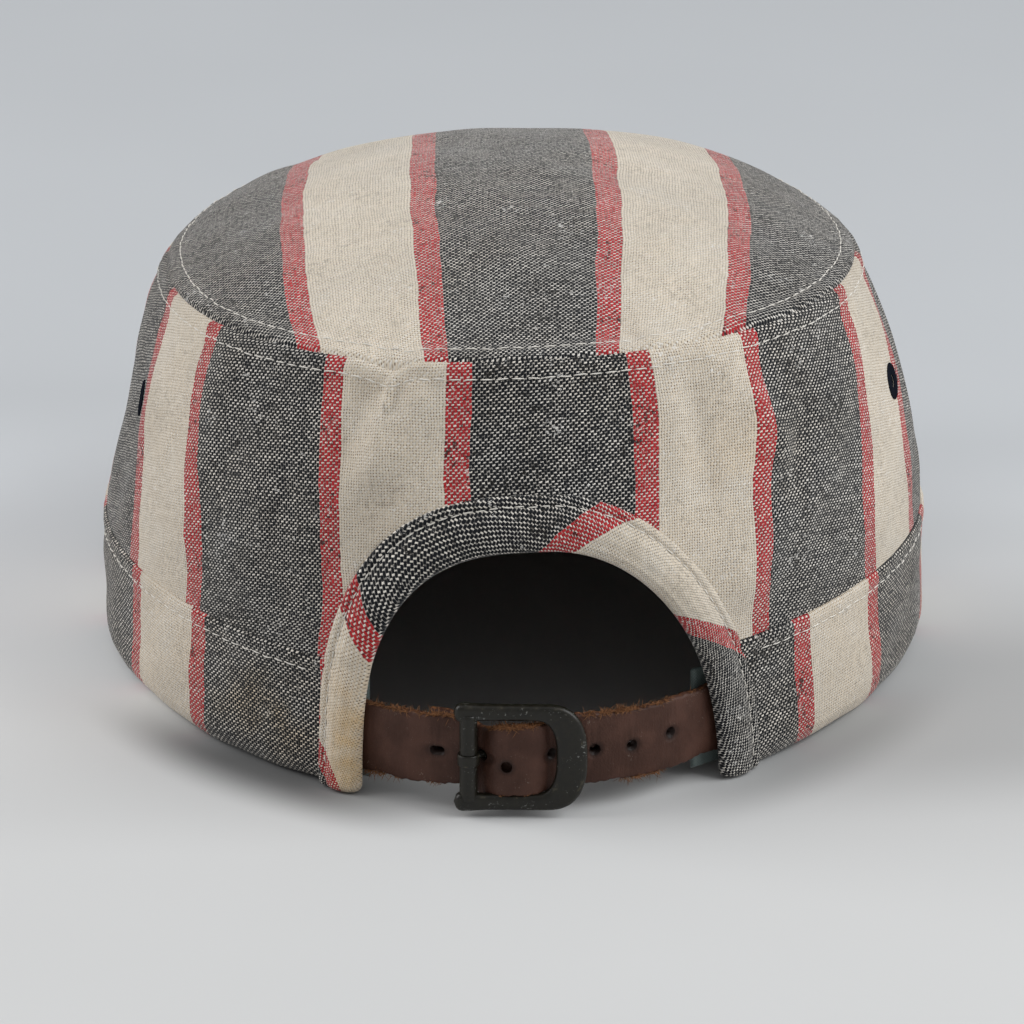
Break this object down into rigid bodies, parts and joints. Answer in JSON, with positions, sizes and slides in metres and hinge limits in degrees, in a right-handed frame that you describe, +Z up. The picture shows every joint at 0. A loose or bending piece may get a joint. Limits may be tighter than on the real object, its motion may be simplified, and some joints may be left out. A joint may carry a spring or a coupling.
{
  "type": "cadet cap",
  "caption": "Soft striped-cloth cadet cap with a domed top, flared wall, headband, short stiff peak, and an arched back opening closed by a leather strap and metal buckle.",
  "frame": {"origin": "middle of the cap's bounding box in plan, on the surface that the rim rests on", "axes": "+Z up through the top of the crown, +Y toward the back opening and the buckle, -Y toward the peak, +X toward the wearer's left"},
  "size_m": [0.175, 0.2624, 0.1025],
  "materials": {
    "striped_cloth": "plain-woven cotton in dark, red and cream stripes, matt and slightly fuzzy",
    "sweatband_cloth": "grey-green satin-faced tape, slight sheen",
    "strap_leather": "dark brown smooth leather with raw fibrous edges",
    "buckle_metal": "dark gunmetal, worn bright along its edges",
    "eyelet_thread": "dark sewn thread"
  },
  "bodies": {
    "root": {"crown_wall": "striped_cloth", "crown_top": "striped_cloth", "headband": "striped_cloth", "opening_binding": "striped_cloth", "peak": "striped_cloth", "sweatband": "sweatband_cloth", "buckle_tab": "strap_leather", "punched_strap": "strap_leather", "buckle_frame": "buckle_metal", "buckle_prong": "buckle_metal", "eyelet_left": "eyelet_thread", "eyelet_right": "eyelet_thread"}
  },
  "joints": []
}
